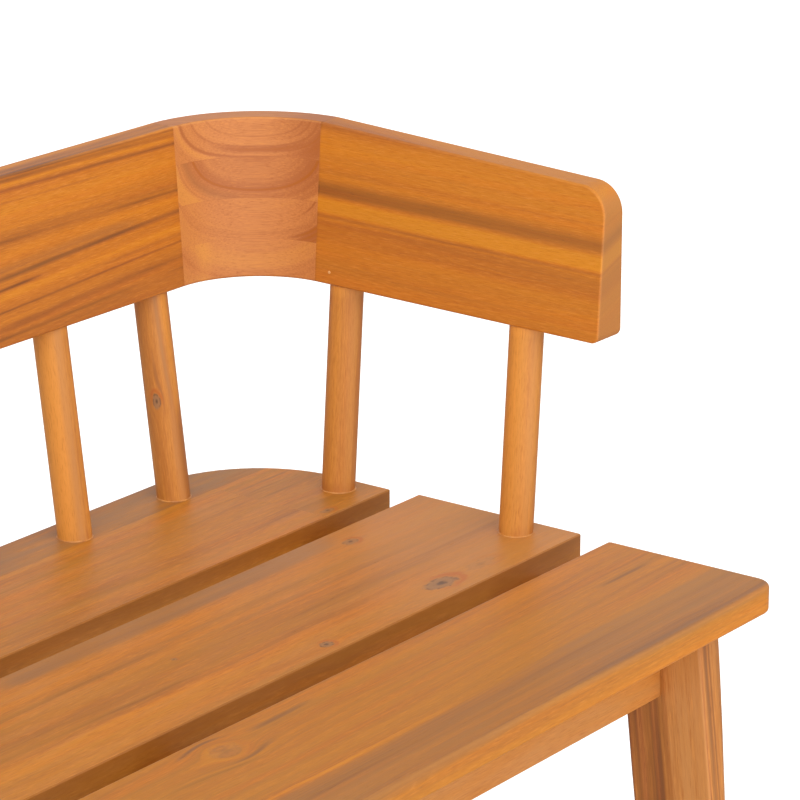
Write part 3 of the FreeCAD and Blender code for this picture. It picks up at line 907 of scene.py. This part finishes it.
class BENCH_OT_underframe(Operator):
    """Finish the aprons, side rails and battens"""

    bl_idname = "bench.underframe"
    bl_label = "Underframe"

    def execute(self, context):
        wood = context.scene.bench_wood
        for i, name in enumerate(("front_apron", "rear_apron")):
            dress(name, wood_material(Board(
                f"{name}_wood", X_AXIS, Z_AXIS, seed=9.1 + i, tone=0.55, edges=0.2, olive=0.4, tan=0.6,
            ), wood))
        for i, name in enumerate(("side_rail_right", "side_rail_left")):
            dress(name, wood_material(Board(f"{name}_wood", Y_AXIS, Z_AXIS, seed=12.3 + i), wood))
        for i, name in enumerate(sorted(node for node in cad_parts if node.startswith("seat_batten"))):
            dress(name, wood_material(Board(f"{name}_wood", Y_AXIS, X_AXIS, seed=14.9 + i, grey=0.2), wood))
        for name in ("rail_dowels", "rear_seat_dowels"):
            dress(name, wood_material(Board(
                f"{name}_wood", X_AXIS, Y_AXIS, seed=17.7, tone=0.7, edges=0,
            ), wood))
        return {"FINISHED"}


def mottled_material(name, colour, second, roughness, metallic=0.0, size=1.0, bump_distance=0.0):
    """Material of a small fitting: two colours in soft mottles of a size in millimetres."""
    material, start = new_material(name)
    place = start.node("ShaderNodeTexCoord", output="Object")
    x, y, z = (place.dot(axis * (MM / size)) for axis in (X_AXIS, Y_AXIS, Z_AXIS))
    mottle = start.noise(x, y, z, detail=3.0)
    inputs = {
        "Base Color": mottle.step(-0.5, 0.5).mix(colour, second),
        "Roughness": roughness + mottle * 0.12,
        "Metallic": metallic,
    }
    finish_surface(start, inputs, mottle, bump_distance)
    return material


class BENCH_OT_fixings(Operator):
    """Finish the screws and the glides"""

    bl_idname = "bench.fixings"
    bl_label = "Screws and Glides"

    def execute(self, context):
        dress("slat_screws", mottled_material(
            "screw_zinc", (0.60, 0.57, 0.50), (0.46, 0.44, 0.40), 0.34,
            metallic=1.0, size=1.5, bump_distance=0.00002,
        ))
        dress("foot_glides", mottled_material(
            "glide_plastic", (0.045, 0.040, 0.036), (0.075, 0.068, 0.060), 0.5,
            size=0.8, bump_distance=0.00004,
        ))
        return {"FINISHED"}


def new_tree(name, sizes):
    """A geometry node tree with places coming in, named sizes and a material."""
    tree = bpy.data.node_groups.new(name, "GeometryNodeTree")
    tree.interface.new_socket("Geometry", in_out="OUTPUT", socket_type="NodeSocketGeometry")
    tree.interface.new_socket("Places", in_out="INPUT", socket_type="NodeSocketGeometry")
    for size in sizes:
        tree.interface.new_socket(size, in_out="INPUT", socket_type="NodeSocketFloat")
    tree.interface.new_socket("Material", in_out="INPUT", socket_type="NodeSocketMaterial")
    return tree, Shade(tree)


def given(start, name):
    """A named input of a geometry node tree."""
    return start.node("NodeGroupInput", output=name)


def set_at_places(start, shape):
    """Copies of a shape at all the places, each made real."""
    copies = start.node(
        "GeometryNodeInstanceOnPoints", {"Points": given(start, "Places"), "Instance": shape}
    )
    return start.node("GeometryNodeRealizeInstances", {"Geometry": copies})


def close_tree(start, geometry):
    """Smooth shading and the material on the made shapes, as the tree's result."""
    smooth = start.node("GeometryNodeSetShadeSmooth", {"Geometry": geometry})
    dressed = start.node(
        "GeometryNodeSetMaterial", {"Geometry": smooth, "Material": given(start, "Material")}
    )
    start.node("NodeGroupOutput", {"Geometry": dressed})


def bead_tree():
    """Thin uneven rings of squeezed-out glue."""
    tree, start = new_tree("glue_bead_rings", ("Ring Radius", "Bead Radius", "Unevenness"))
    ring = start.node(
        "GeometryNodeCurvePrimitiveCircle", {"Radius": given(start, "Ring Radius"), "Resolution": 40}
    )
    section = start.node(
        "GeometryNodeCurvePrimitiveCircle", {"Radius": given(start, "Bead Radius"), "Resolution": 8}
    )
    bead = start.node("GeometryNodeCurveToMesh", {"Curve": ring, "Profile Curve": section})
    beads = set_at_places(start, bead)
    place = start.node("GeometryNodeInputPosition")
    swell = start.noise(*(place.dot(axis * (MM / 7)) for axis in (X_AXIS, Y_AXIS, Z_AXIS)), detail=1.0)
    normal = start.node("GeometryNodeInputNormal")
    offset = start.node(
        "ShaderNodeVectorMath", {0: normal, "Scale": swell * given(start, "Unevenness")}, operation="SCALE"
    )
    close_tree(start, start.node("GeometryNodeSetPosition", {"Geometry": beads, "Offset": offset}))
    return tree


def filler_tree():
    """Low domes of filler, flat across X."""
    tree, start = new_tree("filler_domes", ("Dome Radius", "Dome Height"))
    radius = given(start, "Dome Radius")
    ball = start.node("GeometryNodeMeshUVSphere", {"Radius": radius, "Segments": 20, "Rings": 10})
    flat = start.node("ShaderNodeCombineXYZ", {0: given(start, "Dome Height") / radius, 1: 1.0, 2: 1.0})
    dome = start.node("GeometryNodeTransform", {"Geometry": ball, "Scale": flat})
    close_tree(start, set_at_places(start, dome))
    return tree


def grown_piece(name, tree, places, sizes, material):
    """Run a node tree on places given in millimetres and keep what it makes as a plain mesh."""
    points = bpy.data.meshes.new(f"{name}_places")
    points.from_pydata([place / MM for place in places], [], [])
    piece = bpy.data.objects.new(name, points)
    bpy.context.scene.collection.objects.link(piece)
    modifier = piece.modifiers.new(name, "NODES")
    modifier.node_group = tree
    values = {**{size: value / MM for size, value in sizes.items()}, "Material": material}
    for item in tree.interface.items_tree:
        if item.in_out == "INPUT" and item.name in values:
            modifier[item.identifier] = values[item.name]
    made = bpy.data.meshes.new_from_object(piece.evaluated_get(bpy.context.evaluated_depsgraph_get()))
    if len(made.polygons) == 0:
        raise RuntimeError(f"{name} came out empty")
    piece.modifiers.remove(modifier)
    piece.data = made
    bpy.data.meshes.remove(points)
    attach(piece, "root")
    return piece


class BENCH_OT_glue_beads(Operator):
    """Add the thin beads of glue round the ends of the spindles"""

    bl_idname = "bench.glue_beads"
    bl_label = "Glue Beads"

    def execute(self, context):
        fittings = context.scene.bench_fittings
        places = []
        for name in back_spindles + arm_spindles:
            places.extend(spindle_ends(name))
        sizes = {
            "Ring Radius": spindle_radius + fittings.bead_offset * MM,
            "Bead Radius": fittings.bead_radius * MM,
            "Unevenness": fittings.bead_unevenness * MM,
        }
        material = mottled_material("dried_glue", (0.62, 0.27, 0.06), (0.42, 0.15, 0.03), 0.35, size=3.0)
        grown_piece("spindle_glue_beads", bead_tree(), places, sizes, material)
        return {"FINISHED"}


class BENCH_OT_brad_fillers(Operator):
    """Fill the brad holes on the inner faces of the arms"""

    bl_idname = "bench.brad_fillers"
    bl_label = "Brad Fillers"

    def execute(self, context):
        fittings = context.scene.bench_fittings
        places = []
        for name in (spindle for spindle in arm_spindles if spindle.endswith("rear")):
            head = spindle_ends(name)[1]
            out = 1 if head.x > 0 else -1
            brad_z = head.z + fittings.brad_height * MM
            inner = high("arm_right").x - arm_top_thickness - (high("back_rail").z - brad_z) * arm_face_lean
            places.append(Vector((out * inner, head.y + fittings.brad_offset * MM, brad_z)))
        sizes = {"Dome Radius": fittings.brad_radius * MM, "Dome Height": fittings.brad_dome * MM}
        material = mottled_material("brad_filler", (0.72, 0.40, 0.15), (0.62, 0.30, 0.10), 0.5, size=0.8)
        grown_piece("brad_fillers", filler_tree(), places, sizes, material)
        return {"FINISHED"}


class BENCH_OT_stage(Operator):
    """Lay the floor, set the lights and aim the camera"""

    bl_idname = "bench.stage"
    bl_label = "Stage"

    def execute(self, context):
        scene = context.scene
        stage = scene.bench_stage
        half = stage.floor_size / 2
        corners = [(-half, -half, 0), (half, -half, 0), (half, half, 0), (-half, half, 0)]
        mesh = bpy.data.meshes.new("floor")
        mesh.from_pydata(corners, [], [(0, 1, 2, 3)])
        floor = bpy.data.objects.new("floor", mesh)
        scene.collection.objects.link(floor)
        material, start = new_material("floor_paint")
        place = start.node("ShaderNodeTexCoord", output="Object")
        speck = start.node("ShaderNodeTexNoise", {"Vector": place, "Scale": 30.0})
        finish_surface(start, {
            "Base Color": (*stage.floor_colour, 1.0),
            "Roughness": 0.8 + speck * 0.1,
            "Specular IOR Level": 0.1,
            "Emission Color": (1.0, 1.0, 1.0, 1.0),
            "Emission Strength": stage.floor_glow,
        })
        mesh.materials.append(material)
        # The floor stays white in the picture but throws no light up under the bench
        floor.visible_diffuse = False
        floor.visible_glossy = False
        floor.visible_shadow = False

        world = bpy.data.worlds.new("studio")
        world.use_nodes = True
        world.node_tree.nodes.clear()
        start = Shade(world.node_tree)
        direction = start.node("ShaderNodeTexCoord", output="Generated")
        above = direction.dot(Z_AXIS).step(-0.05, 0.15)
        front = direction.dot(stage.front_aim).step(0.0, 0.9, 0.0, stage.front_light)
        back = direction.dot(stage.back_aim).step(0.5, 0.95, 0.0, stage.backdrop)
        strength = stage.low_sky + above * (stage.sky - stage.low_sky + back) + front
        white = (1.0, 1.0, 1.0, 1.0)
        background = start.node("ShaderNodeBackground", {"Color": white, "Strength": strength})
        start.node("ShaderNodeOutputWorld", {"Surface": background})
        scene.world = world

        camera = bpy.data.cameras.new("photo_camera")
        camera.lens = stage.lens
        camera.sensor_width = 36.0
        view = bpy.data.objects.new("photo_camera", camera)
        ahead = Vector((
            math.sin(stage.camera_turn) * math.cos(stage.camera_tilt),
            math.cos(stage.camera_turn) * math.cos(stage.camera_tilt),
            -math.sin(stage.camera_tilt),
        ))
        view.rotation_euler = ahead.to_track_quat("-Z", "Y").to_euler()
        view.location = stage.camera_place
        scene.collection.objects.link(view)
        scene.camera = view
        scene.view_settings.view_transform = "Standard"
        return {"FINISHED"}


class BENCH_PT_sidebar(Panel):
    """Steps of the bench's finish, in order"""

    bl_idname = "BENCH_PT_sidebar"
    bl_label = "Bench"
    bl_space_type = "VIEW_3D"
    bl_region_type = "UI"
    bl_category = "Bench"

    def draw(self, context):
        for step in steps:
            self.layout.operator(step.bl_idname)
        scene = context.scene
        for group in (scene.bench_wood, scene.bench_fittings, scene.bench_stage):
            box = self.layout.box()
            for name in group.__annotations__:
                box.prop(group, name)


steps = (
    BENCH_OT_seat,
    BENCH_OT_back_rail,
    BENCH_OT_corners,
    BENCH_OT_arms,
    BENCH_OT_spindles,
    BENCH_OT_legs,
    BENCH_OT_underframe,
    BENCH_OT_fixings,
    BENCH_OT_glue_beads,
    BENCH_OT_brad_fillers,
    BENCH_OT_stage,
)
classes = (BenchWood, BenchFittings, BenchStage, *steps, BENCH_PT_sidebar)


def register():
    for cls in classes:
        bpy.utils.register_class(cls)
    bpy.types.Scene.bench_wood = PointerProperty(type=BenchWood)
    bpy.types.Scene.bench_fittings = PointerProperty(type=BenchFittings)
    bpy.types.Scene.bench_stage = PointerProperty(type=BenchStage)


def unregister():
    del bpy.types.Scene.bench_stage
    del bpy.types.Scene.bench_fittings
    del bpy.types.Scene.bench_wood
    for cls in reversed(classes):
        bpy.utils.unregister_class(cls)


def main():
    register()
    bpy.ops.bench.seat()
    bpy.ops.bench.back_rail()
    bpy.ops.bench.corners()
    bpy.ops.bench.arms()
    bpy.ops.bench.spindles()
    bpy.ops.bench.legs()
    bpy.ops.bench.underframe()
    bpy.ops.bench.fixings()
    bpy.ops.bench.glue_beads()
    bpy.ops.bench.brad_fillers()
    bpy.ops.bench.stage()


if __name__ == "__main__":
    main()
